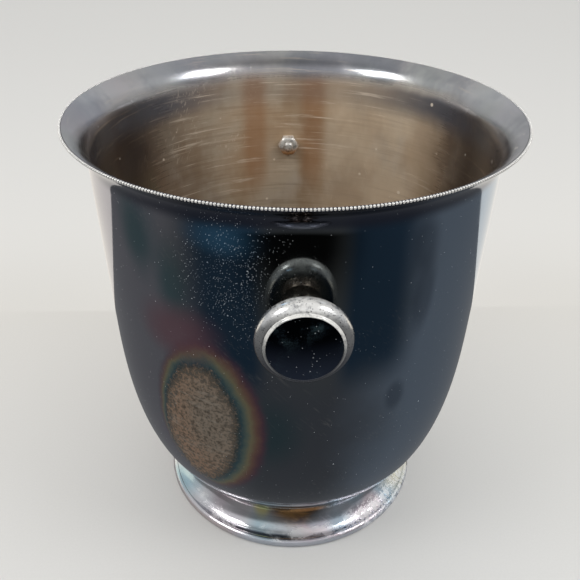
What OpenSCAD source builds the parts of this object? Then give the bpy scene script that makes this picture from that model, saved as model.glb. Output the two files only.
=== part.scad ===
// Champagne bucket: a spun bowl with a flared lip and a beaded rim wire, on a
// spun pedestal foot, with two turned knob handles bolted through the wall.
// Z is up, the origin is the centre of the resting face, and the knobs lie on Y.

/* [Bowl] */
// Outer diameter of the rim, over the bead wire
rim_d = 200; // [160:1:260]
// Overall height, from the resting face to the top of the rim
bucket_h = 209; // [175:1:280]
// Thickness of the bowl's sheet
sheet_t = 1.2; // [0.8:0.1:2]
// Height of the widest part of the rounded bottom
belly_z = 115; // [95:1:135]
// Outward lean of the straight wall above the belly, in degrees
wall_lean = 1.67; // [0:0.1:4]
// Radius of the bowl's flat bottom
bottom_r = 34; // [20:1:45]
// Underside of the flat bottom above the resting face
bottom_z = 14; // [11:0.5:18]
// How far the curve out of the flat bottom reaches before it turns up
bottom_reach = 50; // [40:1:55]
// How far the curve down from the belly holds its direction
belly_reach = 35; // [20:1:60]

/* [Lip] */
// Radius of the flared lip's outer face
flare_r = 16.5; // [12:0.5:24]
// How far the lip turns outward from the wall, in degrees
flare_turn = 61; // [35:1:75]
// Diameter of the beaded wire along the rim
rim_wire_d = 1.2; // [0.8:0.1:2.5]

/* [Foot] */
// Outer diameter of the foot's edge ring
foot_d = 138; // [130:1:160]
// Radius of the foot at its narrowest, the neck
foot_neck_r = 57.9; // [50:0.5:59]
// Radius of the foot where it meets the bowl
foot_top_r = 59.6; // [56:0.1:62]
// Thickness of the foot's sheet
foot_t = 1.2; // [0.8:0.1:2]
// Height of the rounded edge ring
edge_ring_h = 5; // [3:0.5:8]
// Width of the flat face that the bucket rests on
rest_w = 4; // [2:0.5:6]
// Diameter of the bead where the foot meets the bowl
collar_bead_d = 1.8; // [1:0.1:3]
// Leg of the solder fillet inside the foot
solder_leg = 4; // [2:0.5:6]

/* [Knobs] */
// How far both knobs' axis lies below the top of the rim
knob_drop = 50.5; // [44:0.5:65]
// Outer diameter of the round collar against the wall
knob_collar_d = 19.4; // [17:0.2:26]
// Thickness of the collar
knob_collar_t = 2.6; // [2:0.1:4]
// Diameter of the fine ring on the collar's face
knob_step_d = 16.4; // [14.5:0.1:17]
// Height of the fine ring above the collar
knob_step_t = 0.4; // [0.3:0.1:0.8]
// Diameter of the neck at its waist
knob_waist_d = 12; // [9:0.5:14]
// Diameter of the head
knob_head_d = 35.8; // [29:0.2:44]
// Radius of the head's rounded edge
knob_edge_r = 4.5; // [3.8:0.1:6]
// Distance from the wall to the front of the head
knob_reach = 17.3; // [14:0.1:30]
// How far the fine bezel laps out over the head's rounded edge
bezel_lap = 1.4; // [1:0.1:2.5]
// Diameter of the bezel's lower bead
bezel_bead_d = 1; // [0.6:0.1:1.6]
// Thickness of the face plate at its edge
face_t = 1.8; // [1:0.1:3]
// How far the face plate is domed
face_dome = 0.5; // [0.2:0.1:2]

/* [Fasteners] */
// Diameter of the threaded stud that holds a knob
stud_d = 5; // [4:0.5:6]
// How far the stud stands out of its nut
stud_proud = 1.6; // [0.5:0.1:3]
// How deep the stud is screwed into the head
stud_in_head = 5; // [3:0.5:6]
// Nut size across its flats
nut_af = 10; // [8:0.5:13]
// Thickness of the nut
nut_t = 4.4; // [3:0.2:7]
// Radial room around the stud in the wall and the collar
stud_clearance = 0.25; // [0.1:0.05:0.5]

/* [Hidden] */
$fn = 96;

silver = "silver";
tarnished = "slategray";
solder_grey = "gray";

bowl_steps = 18;
flare_steps = 12;
cove_steps = 8;
// Sides of the fine wire's and bead's section
fine_sides = 12;

// ---- points and directions in the bowl's half-section, as [radius, height]
function along(a) = [sin(a), cos(a)];
function outward(a) = [cos(a), -sin(a)];
function bezier(p, t) = pow(1 - t, 3) * p[0] + 3 * pow(1 - t, 2) * t * p[1]
    + 3 * (1 - t) * pow(t, 2) * p[2] + pow(t, 3) * p[3];
function bezier_way(p, t) = pow(1 - t, 2) * (p[1] - p[0]) + 2 * (1 - t) * t * (p[2] - p[1])
    + pow(t, 2) * (p[3] - p[2]);
function left_of(v) = [-v[1], v[0]] / norm(v);
// The curve itself, or the same curve moved to the left of its own direction
function bezier_run(p, steps, shift = 0) =
    [for (i = [0:steps]) bezier(p, i / steps) + shift * left_of(bezier_way(p, i / steps))];

wire_r = rim_wire_d / 2;
wire_centre = [rim_d / 2 - wire_r, bucket_h - wire_r];
// The sheet runs into the wire by this share of the wire's radius
wire_seat = 0.8;
lip_angle = wall_lean + flare_turn;
lip_end = wire_centre - wire_r * wire_seat * along(lip_angle) + sheet_t / 2 * outward(lip_angle);
flare_centre = lip_end + flare_r * outward(lip_angle);
flare_start = flare_centre - flare_r * outward(wall_lean);
function wall_r_at(z) = flare_start[0] - (flare_start[1] - z) * tan(wall_lean);
belly_r = wall_r_at(belly_z);

bowl_curve = [[bottom_r, bottom_z], [bottom_r + bottom_reach, bottom_z],
    [belly_r, belly_z] - belly_reach * along(wall_lean), [belly_r, belly_z]];

// One face of the sheet from the flat bottom to the lip; shift moves it inward
function sheet_face(shift) = concat(
    bezier_run(bowl_curve, bowl_steps, shift),
    [for (i = [0:flare_steps])
        flare_centre - (flare_r + shift) * outward(wall_lean + flare_turn * i / flare_steps)]);
outer_face = sheet_face(0);
inner_face = sheet_face(sheet_t);
lip_inner_end = inner_face[len(inner_face) - 1];
lip_overrun = 2;
function turned_back(list) = [for (i = [len(list) - 1:-1:0]) list[i]];

foot_r = foot_d / 2;
edge_r = edge_ring_h / 2;
edge_centre = [foot_r - edge_r, edge_r];
// Height of the bowl's outside at a radius below the belly
function bowl_z_at(r) = lookup(r, bezier_run(bowl_curve, bowl_steps));
foot_joint_z = bowl_z_at(foot_top_r);
// The neck's top passes this far into the bowl's outline, and is trimmed to it
foot_overrun = 1.2;
neck_flare = 1.6;
neck_drop = 4.5;
cove_rise = 6;
cove = [foot_neck_r + neck_flare, edge_ring_h + cove_rise];
foot_neck_curve = [[foot_top_r, foot_joint_z + foot_overrun], [foot_neck_r, foot_joint_z - neck_drop],
    [foot_neck_r, cove[1] + 2.5], cove];
foot_cove_curve = [cove, cove + [1.5, -2.4], [foot_r - 6, edge_ring_h + 0.6],
    [edge_centre[0], edge_ring_h - 0.1]];
function foot_face(shift) = concat(
    bezier_run(foot_neck_curve, cove_steps, shift),
    bezier_run(foot_cove_curve, cove_steps, shift));
// The bead lies in the corner between the neck and the bowl, and is trimmed to both
collar_bead_r = collar_bead_d / 2;
collar_bead_centre = [foot_top_r + collar_bead_r * 0.5, foot_joint_z - collar_bead_r * 0.45];

stud_r = stud_d / 2;
stud_hole_r = stud_r + stud_clearance;
knob_z = bucket_h - knob_drop;
wall_r = wall_r_at(knob_z);
inner_wall_r = wall_r - sheet_t / cos(wall_lean);
// Pieces that follow the round wall start this far inside it, and are trimmed to it
wall_overrun = 2;
collar_face_u = wall_r + knob_collar_t;
neck_start_u = collar_face_u;
head_u = wall_r + knob_reach - knob_edge_r;
head_back_u = head_u - knob_edge_r;
head_core_r = knob_head_d / 2 - knob_edge_r;
neck_foot_r = knob_step_d / 2 - 1;
neck_head_r = (knob_waist_d / 2 + head_core_r) / 2;
waist_hold = (head_back_u - neck_start_u) / 3;
waist_curve = [[neck_foot_r, neck_start_u], [knob_waist_d / 2 - 0.6, neck_start_u + waist_hold],
    [knob_waist_d / 2 - 0.6, head_back_u - waist_hold], [neck_head_r, head_back_u]];
waist_steps = 14;
bezel_bead_r = bezel_bead_d / 2;
bezel_top_bead_r = bezel_bead_r * 0.8;
bezel_r = head_core_r + bezel_lap - bezel_bead_r;
bezel_u = wall_r + knob_reach;
bezel_rise = 0.75;
bezel_inset = 0.35;
// The face plate ends this far inside the bezel's bead
bezel_seat = 0.2;
face_r = bezel_r - bezel_bead_r - bezel_seat;
face_front_u = bezel_u + bezel_rise;
face_back_u = face_front_u - face_t;
dome_r = (pow(face_r, 2) + pow(face_dome, 2)) / (2 * face_dome);
dome_turn = asin(face_r / dome_r);
dome_steps = 6;
nut_corner_r = nut_af / (2 * cos(30));
nut_chamfer = 0.9;
nut_inner_u = inner_wall_r - nut_t;
stud_inner_u = nut_inner_u - stud_proud;
stud_outer_u = head_back_u + stud_in_head;
bore_overrun = 1;

// ---- helpers
module bowl_filled() {
    rotate_extrude() polygon(concat([[0, bottom_z]], outer_face, [lip_inner_end, [0, lip_inner_end[1]]]));
}

// Everything inside the sheet, and a little above the lip
module bowl_room() {
    rotate_extrude() polygon(concat([[0, bottom_z + sheet_t]], inner_face,
        [lip_inner_end + [0, lip_overrun], [0, lip_inner_end[1] + lip_overrun]]));
}

module foot_sheet() {
    rotate_extrude() polygon(concat(foot_face(0), turned_back(foot_face(-foot_t))));
}

// Local Z runs from the bucket's axis out along the knob's axis
module on_knob_axis(turn) {
    translate([0, 0, knob_z]) rotate([0, 0, turn]) rotate([90, 0, 0]) children();
}

module stud_bore(r, from_u, to_u) {
    translate([0, 0, from_u]) cylinder(r = r, h = to_u - from_u);
}

// ---- bowl and rim
module bucket_body() {
    color(tarnished) difference() {
        bowl_filled();
        bowl_room();
        for (turn = [0, 180]) on_knob_axis(turn)
            stud_bore(stud_hole_r, inner_wall_r - wall_overrun, wall_r + wall_overrun);
    }
}

module rim_wire() {
    color(silver) difference() {
        rotate_extrude() translate(wire_centre) circle(r = wire_r, $fn = fine_sides);
        rotate_extrude() polygon(concat(outer_face, turned_back(inner_face)));
    }
}

// ---- foot
module foot() {
    color(silver) difference() {
        foot_sheet();
        bowl_filled();
    }
}

module foot_edge_ring() {
    color(silver) difference() {
        rotate_extrude() {
            translate(edge_centre) circle(r = edge_r);
            translate([edge_centre[0] - rest_w, 0]) square([rest_w, edge_ring_h - foot_t]);
        }
        foot_sheet();
    }
}

module foot_collar_bead() {
    color(silver) difference() {
        rotate_extrude() translate(collar_bead_centre) circle(r = collar_bead_r, $fn = fine_sides);
        bowl_filled();
        foot_sheet();
    }
}

module foot_solder() {
    corner_r = foot_top_r - foot_t;
    fillet_r = corner_r - solder_leg;
    color(solder_grey) difference() {
        rotate_extrude() intersection() {
            polygon([[fillet_r, bowl_z_at(fillet_r)], [foot_top_r, foot_joint_z],
                [foot_top_r, bowl_z_at(corner_r) - solder_leg]]);
            polygon(concat([[0, foot_joint_z]], foot_face(-foot_t), [[0, 0]]));
        }
        bowl_filled();
    }
}

// ---- one knob, from the wall outward
module knob_collar(turn) {
    bulge_r = knob_collar_t / 2;
    color(silver) difference() {
        on_knob_axis(turn) difference() {
            union() {
                rotate_extrude() translate([knob_collar_d / 2 - bulge_r, wall_r + bulge_r]) circle(r = bulge_r);
                translate([0, 0, wall_r - wall_overrun])
                    cylinder(r = knob_collar_d / 2 - bulge_r, h = wall_overrun + knob_collar_t);
                translate([0, 0, wall_r + bulge_r])
                    cylinder(d = knob_step_d, h = bulge_r + knob_step_t);
            }
            stud_bore(stud_hole_r, wall_r - wall_overrun - bore_overrun, collar_face_u + bore_overrun);
            translate([0, 0, collar_face_u]) cylinder(r = neck_foot_r, h = bore_overrun);
        }
        bowl_filled();
    }
}

module knob_neck(turn) {
    color(silver) on_knob_axis(turn) difference() {
        rotate_extrude()
            polygon(concat([[0, neck_start_u]], bezier_run(waist_curve, waist_steps), [[0, head_back_u]]));
        stud_bore(stud_r, neck_start_u - bore_overrun, head_back_u + bore_overrun);
    }
}

module knob_head(turn) {
    color(silver) on_knob_axis(turn) difference() {
        union() {
            rotate_extrude() translate([head_core_r, head_u]) circle(r = knob_edge_r);
            translate([0, 0, head_back_u]) cylinder(r = head_core_r, h = 2 * knob_edge_r);
        }
        translate([0, 0, face_back_u]) cylinder(r = face_r, h = face_t + bore_overrun);
        stud_bore(stud_r, head_back_u - bore_overrun, stud_outer_u);
        bezel_rings();
    }
}

module bezel_rings() {
    rotate_extrude() difference() {
        union() {
            translate([bezel_r, bezel_u]) circle(r = bezel_bead_r);
            translate([bezel_r - bezel_inset, bezel_u + bezel_rise - bezel_top_bead_r])
                circle(r = bezel_top_bead_r);
        }
        translate([0, face_back_u]) square([face_r, face_t + bore_overrun]);
    }
}

module knob_bezel(turn) {
    color(silver) on_knob_axis(turn) bezel_rings();
}

module knob_face(turn) {
    color(tarnished) on_knob_axis(turn) translate([0, 0, face_front_u + face_dome - dome_r])
        rotate_extrude() polygon(concat(
            [[0, dome_r - face_dome - face_t], [face_r, dome_r - face_dome - face_t]],
            [for (i = [dome_steps:-1:0]) dome_r * along(dome_turn * i / dome_steps)]));
}

module knob_stud(turn) {
    color(silver) on_knob_axis(turn) {
        translate([0, 0, stud_inner_u]) cylinder(r1 = stud_r - 0.8, r2 = stud_r, h = 0.8);
        stud_bore(stud_r, stud_inner_u + 0.8, stud_outer_u);
    }
}

module knob_nut(turn) {
    color(silver) difference() {
        intersection() {
            on_knob_axis(turn) intersection() {
                translate([0, 0, nut_inner_u]) cylinder(r = nut_corner_r, h = nut_t + wall_overrun, $fn = 6);
                translate([0, 0, nut_inner_u]) union() {
                    cylinder(r1 = nut_corner_r - nut_chamfer, r2 = nut_corner_r, h = nut_chamfer);
                    translate([0, 0, nut_chamfer]) cylinder(r = nut_corner_r, h = nut_t + wall_overrun);
                }
            }
            bowl_room();
        }
        on_knob_axis(turn) stud_bore(stud_r, nut_inner_u - bore_overrun, inner_wall_r + bore_overrun);
    }
}

bucket_body();
rim_wire();
foot();
foot_edge_ring();
foot_collar_bead();
foot_solder();
knob_collar(0);  // front_knob_collar
knob_neck(0);  // front_knob_neck
knob_head(0);  // front_knob_head
knob_bezel(0);  // front_knob_bezel
knob_face(0);  // front_knob_face
knob_stud(0);  // front_knob_stud
knob_nut(0);  // front_knob_nut
knob_collar(180);  // back_knob_collar
knob_neck(180);  // back_knob_neck
knob_head(180);  // back_knob_head
knob_bezel(180);  // back_knob_bezel
knob_face(180);  // back_knob_face
knob_stud(180);  // back_knob_stud
knob_nut(180);  // back_knob_nut
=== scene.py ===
import math
import bpy
from mathutils import Matrix, Vector


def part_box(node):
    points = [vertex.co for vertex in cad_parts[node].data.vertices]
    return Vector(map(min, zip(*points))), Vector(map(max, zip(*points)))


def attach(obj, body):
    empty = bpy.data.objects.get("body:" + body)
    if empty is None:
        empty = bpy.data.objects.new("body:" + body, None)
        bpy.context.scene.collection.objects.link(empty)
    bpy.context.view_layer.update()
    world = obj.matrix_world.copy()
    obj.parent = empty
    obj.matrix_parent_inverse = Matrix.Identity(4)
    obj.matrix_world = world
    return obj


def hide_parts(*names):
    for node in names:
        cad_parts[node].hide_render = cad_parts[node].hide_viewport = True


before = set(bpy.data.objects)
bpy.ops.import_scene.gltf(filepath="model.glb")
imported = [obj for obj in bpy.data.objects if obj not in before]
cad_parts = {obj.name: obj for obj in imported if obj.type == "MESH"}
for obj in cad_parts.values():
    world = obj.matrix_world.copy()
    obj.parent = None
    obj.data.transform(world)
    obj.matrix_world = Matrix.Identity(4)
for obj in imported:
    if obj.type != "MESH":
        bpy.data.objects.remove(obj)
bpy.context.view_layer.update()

ROOT = "root"
MM = 0.001

# ---------------------------------------------------------------- sizes, from the frame where it has them
WIRE_LO, WIRE_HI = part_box("rim_wire")
BOWL_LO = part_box("bucket_body")[0]
EDGE_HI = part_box("foot_edge_ring")[1]
COLLAR_LO, COLLAR_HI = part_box("back_knob_collar")
HEAD_LO, HEAD_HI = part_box("back_knob_head")
BEZEL_LO, BEZEL_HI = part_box("back_knob_bezel")
FACE_LO, FACE_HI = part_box("back_knob_face")
STUD_LO, STUD_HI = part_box("back_knob_stud")
NUT_LO, NUT_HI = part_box("back_knob_nut")

RIM_R = WIRE_HI[0]
TOP_Z = WIRE_HI[2]
WIRE_R = (WIRE_HI[2] - WIRE_LO[2]) / 2
BOTTOM_Z = BOWL_LO[2]
KNOB_Z = (HEAD_LO[2] + HEAD_HI[2]) / 2
SHEET = 1.2 * MM
WALL_LEAN = math.radians(1.67)
FLARE_R = 16.5 * MM
FLARE_TURN = math.radians(61)
WIRE_SEAT = 0.8
BELLY_Z = 115 * MM
BOTTOM_R = 34 * MM
BOTTOM_REACH = 50 * MM
BELLY_REACH = 35 * MM
FOOT_R = EDGE_HI[0]
EDGE_H = EDGE_HI[2]
FIRST_BEADS = 15
BEAD_DOUBLINGS = 5
RIM_BEADS = FIRST_BEADS * 2**BEAD_DOUBLINGS
FOOT_SHEET = 1.2 * MM
FOOT_NECK_R = 57.9 * MM
FOOT_TOP_R = 59.6 * MM
REST_W = 4 * MM
COLLAR_BEAD_R = 0.9 * MM
STUD_HOLE_R = 2.75 * MM
BOWL_FACETS = 224
CORE_SHARE = 0.55
BEAD_SHARE = 0.985
SOLDER_LEG = 4 * MM


def along(a):
    return Vector((math.sin(a), math.cos(a)))


def outward(a):
    return Vector((math.cos(a), -math.sin(a)))


def bezier(p, t):
    s = 1 - t
    return s**3 * p[0] + 3 * s * s * t * p[1] + 3 * s * t * t * p[2] + t**3 * p[3]


def bezier_run(p, steps, shift=0.0):
    """Points along a curve, moved to its left by shift."""
    run = []
    for i in range(steps + 1):
        t = i / steps
        way = (1 - t) ** 2 * (p[1] - p[0]) + 2 * (1 - t) * t * (p[2] - p[1]) + t * t * (p[3] - p[2])
        way.normalize()
        run.append(bezier(p, t) + shift * Vector((-way.y, way.x)))
    return run


def arc(centre, radius, start, end, steps):
    """Points on a circle in the half-section, angles in degrees."""
    turns = [math.radians(start + (end - start) * i / steps) for i in range(steps + 1)]
    return [Vector((centre[0] + radius * math.cos(a), centre[1] + radius * math.sin(a))) for a in turns]


LIP_ANGLE = WALL_LEAN + FLARE_TURN
WIRE_CENTRE = Vector((RIM_R - WIRE_R, TOP_Z - WIRE_R))
LIP_END = WIRE_CENTRE - WIRE_R * WIRE_SEAT * along(LIP_ANGLE) + SHEET / 2 * outward(LIP_ANGLE)
FLARE_CENTRE = LIP_END + FLARE_R * outward(LIP_ANGLE)
FLARE_START = FLARE_CENTRE - FLARE_R * outward(WALL_LEAN)


def wall_r(z):
    return FLARE_START.x - (FLARE_START.y - z) * math.tan(WALL_LEAN)


BELLY_R = wall_r(BELLY_Z)
BOWL_CURVE = [
    Vector((BOTTOM_R, BOTTOM_Z)),
    Vector((BOTTOM_R + BOTTOM_REACH, BOTTOM_Z)),
    Vector((BELLY_R, BELLY_Z)) - BELLY_REACH * along(WALL_LEAN),
    Vector((BELLY_R, BELLY_Z)),
]


def sheet_face(shift):
    """One face of the bowl's sheet, from the flat bottom up over the lip."""
    wall = [Vector((wall_r(z), z)) + shift * Vector((-1, 0)) for z in
            (BELLY_Z + (FLARE_START.y - BELLY_Z) * i / 12 for i in range(1, 12))]
    flare = [FLARE_CENTRE - (FLARE_R + shift) * outward(WALL_LEAN + FLARE_TURN * i / 20) for i in range(21)]
    return bezier_run(BOWL_CURVE, 34, shift) + wall + flare


OUTER_FACE = sheet_face(0.0)


def bowl_z_at(r):
    """Height of the bowl's outside at a radius below the belly."""
    for a, b in zip(OUTER_FACE, OUTER_FACE[1:]):
        if a.x <= r <= b.x:
            return a.y + (b.y - a.y) * (r - a.x) / (b.x - a.x)
    return BOTTOM_Z


FOOT_JOINT_Z = bowl_z_at(FOOT_TOP_R)
COVE = Vector((FOOT_NECK_R + 1.6 * MM, EDGE_H + 6 * MM))
FOOT_NECK_CURVE = [
    Vector((FOOT_TOP_R, FOOT_JOINT_Z)),
    Vector((FOOT_NECK_R, FOOT_JOINT_Z - 4.5 * MM)),
    Vector((FOOT_NECK_R, COVE.y + 2.5 * MM)),
    COVE,
]
EDGE_R = EDGE_H / 2
EDGE_CENTRE = Vector((FOOT_R - EDGE_R, EDGE_R))
FOOT_COVE_CURVE = [
    COVE,
    COVE + Vector((1.5 * MM, -2.4 * MM)),
    Vector((FOOT_R - 6 * MM, EDGE_H + 0.6 * MM)),
    Vector((EDGE_CENTRE.x, EDGE_H - 0.1 * MM)),
]


# ---------------------------------------------------------------- bench work
def put_down():
    """Leave edit mode with nothing selected."""
    if bpy.context.mode != "OBJECT":
        bpy.ops.object.mode_set(mode="OBJECT")
    for o in list(bpy.context.selected_objects):
        o.select_set(False)


def take_up(piece):
    put_down()
    piece.select_set(True)
    bpy.context.view_layer.objects.active = piece


def named(name):
    piece = bpy.context.object
    piece.name = name.replace(" ", "_")
    piece.data.name = piece.name
    return piece


def one_point(point):
    """Start a mesh from a single vertex, a small plane merged at its middle."""
    put_down()
    bpy.ops.mesh.primitive_plane_add(size=MM, location=(0, 0, 0))
    bpy.ops.object.mode_set(mode="EDIT")
    bpy.ops.mesh.select_all(action="SELECT")
    bpy.ops.mesh.merge(type="CENTER")
    bpy.ops.transform.translate(value=(point[0], 0, point[1]))


def spun(name, outline, around=160, ring=False, sharp=40):
    """A turned piece about Z: the outline is drawn by extruding a point, then spun a full turn."""
    one_point(outline[0])
    for a, b in zip(outline, outline[1:]):
        bpy.ops.mesh.extrude_region_move(TRANSFORM_OT_translate={"value": (b[0] - a[0], 0, b[1] - a[1])})
    if ring:
        bpy.ops.mesh.extrude_region_move(TRANSFORM_OT_translate={
            "value": (outline[0][0] - outline[-1][0], 0, outline[0][1] - outline[-1][1])})
    bpy.ops.mesh.select_all(action="SELECT")
    bpy.ops.mesh.remove_doubles(threshold=1e-6)
    bpy.ops.mesh.select_all(action="SELECT")
    bpy.ops.mesh.spin(steps=around, angle=math.tau, center=(0, 0, 0), axis=(0, 0, 1))
    bpy.ops.mesh.select_all(action="SELECT")
    bpy.ops.mesh.remove_doubles(threshold=2e-6)
    bpy.ops.mesh.fill_holes(sides=0)
    bpy.ops.mesh.select_all(action="SELECT")
    bpy.ops.mesh.normals_make_consistent(inside=False)
    put_down()
    piece = named(name)
    take_up(piece)
    bpy.ops.object.shade_smooth_by_angle(angle=math.radians(sharp))
    return piece


def settle(piece):
    """Leave the piece's place in its mesh, with its object at the origin."""
    take_up(piece)
    bpy.ops.object.transform_apply(location=True, rotation=True, scale=True)


def on_wall(piece, back):
    """Turn a piece made along Z so that it stands out of the front or the back wall."""
    piece.rotation_euler = (math.radians(-90 if back else 90), 0, 0)
    piece.location = (0, 0, KNOB_Z)
    settle(piece)


def apply_modifiers(piece):
    take_up(piece)
    for m in [m.name for m in piece.modifiers]:
        bpy.ops.object.modifier_apply(modifier=m)


def cut(piece, tool, how="DIFFERENCE"):
    m = piece.modifiers.new("cut", "BOOLEAN")
    m.operation = how
    m.object = tool
    m.solver = "EXACT"
    apply_modifiers(piece)
    bpy.data.objects.remove(tool)
    take_up(piece)
    bpy.ops.object.shade_smooth_by_angle(angle=math.radians(30))


def finish_piece(piece, slot, materials, *nodes):
    for m in materials:
        piece.data.materials.append(m)
    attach(piece, ROOT)
    if nodes:
        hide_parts(*nodes)


# ---------------------------------------------------------------- shader bench
class Shader:
    """Short calls for building a node tree."""

    def __init__(self, tree):
        self.tree = tree

    def node(self, kind, inputs=None, out=0, **settings):
        n = self.tree.nodes.new(kind)
        for key, value in settings.items():
            setattr(n, key, value)
        for key, value in (inputs or {}).items():
            if isinstance(value, bpy.types.NodeSocket):
                self.tree.links.new(value, n.inputs[key])
            else:
                n.inputs[key].default_value = value
        return n.outputs[out] if n.outputs else n

    def math(self, op, a, b=0.0, clamp=False):
        return self.node("ShaderNodeMath", {0: a, 1: b, 2: 0.0}, operation=op, use_clamp=clamp)

    def times(self, a, b):
        return self.math("MULTIPLY", a, b)

    def plus(self, a, b, clamp=False):
        return self.math("ADD", a, b, clamp=clamp)

    def minus(self, a, b):
        return self.math("SUBTRACT", a, b)

    def axis(self, vector, which):
        return self.node("ShaderNodeSeparateXYZ", {0: vector}, out=which)

    def between(self, value, lo, hi, out_lo=0.0, out_hi=1.0):
        return self.node("ShaderNodeMapRange", {0: value, 1: lo, 2: hi, 3: out_lo, 4: out_hi},
                         interpolation_type="SMOOTHSTEP")

    def mix(self, factor, a, b):
        return self.node("ShaderNodeMix", {0: factor, 6: a, 7: b}, out=2, data_type="RGBA")

    def blend(self, factor, a, b):
        return self.node("ShaderNodeMix", {0: factor, 2: a, 3: b}, out=0, data_type="FLOAT")

    def ramp(self, value, stops):
        n = self.tree.nodes.new("ShaderNodeValToRGB")
        self.tree.links.new(value, n.inputs[0])
        while len(n.color_ramp.elements) < len(stops):
            n.color_ramp.elements.new(0.5)
        for element, (place, colour) in zip(n.color_ramp.elements, stops):
            element.position = place
            element.color = (*colour, 1)
        return n.outputs[0]

    def noise(self, vector, scale, detail=3.0, rough=0.5, out=0, distortion=0.0):
        return self.node("ShaderNodeTexNoise", {"Vector": vector, "Scale": scale, "Detail": detail,
                                                "Roughness": rough, "Distortion": distortion}, out=out)

    def stretch(self, vector, scale=(1, 1, 1), turn=(0, 0, 0), move=(0, 0, 0)):
        return self.node("ShaderNodeMapping", {"Vector": vector, "Scale": scale, "Rotation": turn,
                                               "Location": move})

    def group(self, tree, inputs, out=0):
        n = self.tree.nodes.new("ShaderNodeGroup")
        n.node_tree = tree
        for key, value in inputs.items():
            if isinstance(value, bpy.types.NodeSocket):
                self.tree.links.new(value, n.inputs[key])
            else:
                n.inputs[key].default_value = value
        return n.outputs[out]

    def scratches(self, vector, turn, fineness, patches):
        return self.group(SCRATCHES, {"Vector": vector, "Turn": turn,
                                      "Fineness": fineness, "Patches": patches})

    def specks(self, vector, scale, share, size):
        return self.group(SPECKS, {"Vector": vector, "Scale": scale, "Share": share, "Size": size})


def effect(name, inputs, outputs):
    """An empty shader node group with named sockets; returns its tree, its bench and its ends."""
    tree = bpy.data.node_groups.new(name, "ShaderNodeTree")
    for title, kind, value in inputs:
        s = tree.interface.new_socket(name=title, in_out="INPUT", socket_type=kind)
        if value is not None:
            s.default_value = value
    for title, kind in outputs:
        tree.interface.new_socket(name=title, in_out="OUTPUT", socket_type=kind)
    given = tree.nodes.new("NodeGroupInput").outputs
    wanted = tree.nodes.new("NodeGroupOutput").inputs
    return tree, Shader(tree), given, wanted


def make_tarnish():
    """Colours that silver takes as its sulphide film thickens, from clean plate to blue-black."""
    tree, s, given, wanted = effect("Tarnish Film", [("Thickness", "NodeSocketFloat", 0.5)],
                                    [("Colour", "NodeSocketColor")])
    film = s.ramp(given["Thickness"], [
        (0.00, (0.78, 0.77, 0.74)),
        (0.12, (0.60, 0.53, 0.42)),
        (0.26, (0.40, 0.28, 0.18)),
        (0.36, (0.22, 0.15, 0.11)),
        (0.46, (0.05, 0.06, 0.07)),
        (0.56, (0.05, 0.11, 0.13)),
        (0.66, (0.17, 0.15, 0.07)),
        (0.75, (0.16, 0.055, 0.06)),
        (0.83, (0.020, 0.024, 0.050)),
        (0.90, (0.09, 0.16, 0.26)),
        (1.00, (0.40, 0.47, 0.56)),
    ])
    tree.links.new(film, wanted["Colour"])
    return tree


def make_scratches():
    """Thin straight scratches across a stretched noise, gathered in patches."""
    tree, s, given, wanted = effect("Hairline Scratches", [
        ("Vector", "NodeSocketVector", None), ("Turn", "NodeSocketVector", None),
        ("Fineness", "NodeSocketFloat", 900.0), ("Patches", "NodeSocketFloat", 18.0)],
        [("Mask", "NodeSocketFloat")])
    turned = s.node("ShaderNodeVectorRotate", {"Vector": given["Vector"], "Rotation": given["Turn"]},
                    rotation_type="EULER_XYZ")
    long_way = s.stretch(turned, scale=(1.0, 1.0, 0.035))
    lines = s.noise(long_way, given["Fineness"], detail=2.0, rough=0.6)
    patches = s.noise(given["Vector"], given["Patches"], detail=2.0)
    sharp = s.between(lines, 0.60, 0.68)
    where = s.between(patches, 0.48, 0.66)
    tree.links.new(s.times(sharp, where), wanted["Mask"])
    return tree


def make_specks():
    """Dried splashes: small round specks of mixed size, gathered by a soft noise."""
    tree, s, given, wanted = effect("Dried Specks", [
        ("Vector", "NodeSocketVector", None), ("Scale", "NodeSocketFloat", 400.0),
        ("Share", "NodeSocketFloat", 0.3), ("Size", "NodeSocketFloat", 0.3)],
        [("Mask", "NodeSocketFloat")])
    voronoi = tree.nodes.new("ShaderNodeTexVoronoi")
    aslant = s.stretch(given["Vector"], turn=(0.55, 0.35, 0.80))
    tree.links.new(aslant, voronoi.inputs["Vector"])
    tree.links.new(given["Scale"], voronoi.inputs["Scale"])
    pick = s.node("ShaderNodeSeparateColor", {0: voronoi.outputs["Color"]})
    size = s.times(given["Size"], pick)
    dot = s.between(s.minus(voronoi.outputs["Distance"], size), -0.05, 0.03, 1.0, 0.0)
    chosen = s.math("LESS_THAN", s.node("ShaderNodeSeparateColor", {0: voronoi.outputs["Color"]}, out=1),
                    given["Share"])
    tree.links.new(s.times(dot, chosen), wanted["Mask"])
    return tree


TARNISH = make_tarnish()
SCRATCHES = make_scratches()
SPECKS = make_specks()


def plate(name):
    """A new metal material: its shader bench, its surface and its object coordinates."""
    m = bpy.data.materials.new(name)
    m.use_nodes = True
    m.node_tree.nodes.clear()
    s = Shader(m.node_tree)
    surface = m.node_tree.nodes.new("ShaderNodeBsdfPrincipled")
    surface.inputs["Metallic"].default_value = 1.0
    s.node("ShaderNodeOutputMaterial", {"Surface": surface.outputs[0]})
    here = s.node("ShaderNodeTexCoord", out=3)
    return m, s, surface.inputs, here


def wire_up(s, target, **sockets):
    for key, value in sockets.items():
        title = key.replace("_", " ")
        if isinstance(value, bpy.types.NodeSocket):
            s.tree.links.new(value, target[title])
        else:
            target[title].default_value = value


def bump(s, height, strength, distance):
    return s.node("ShaderNodeBump", {"Height": height, "Strength": strength, "Distance": distance})


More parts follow.
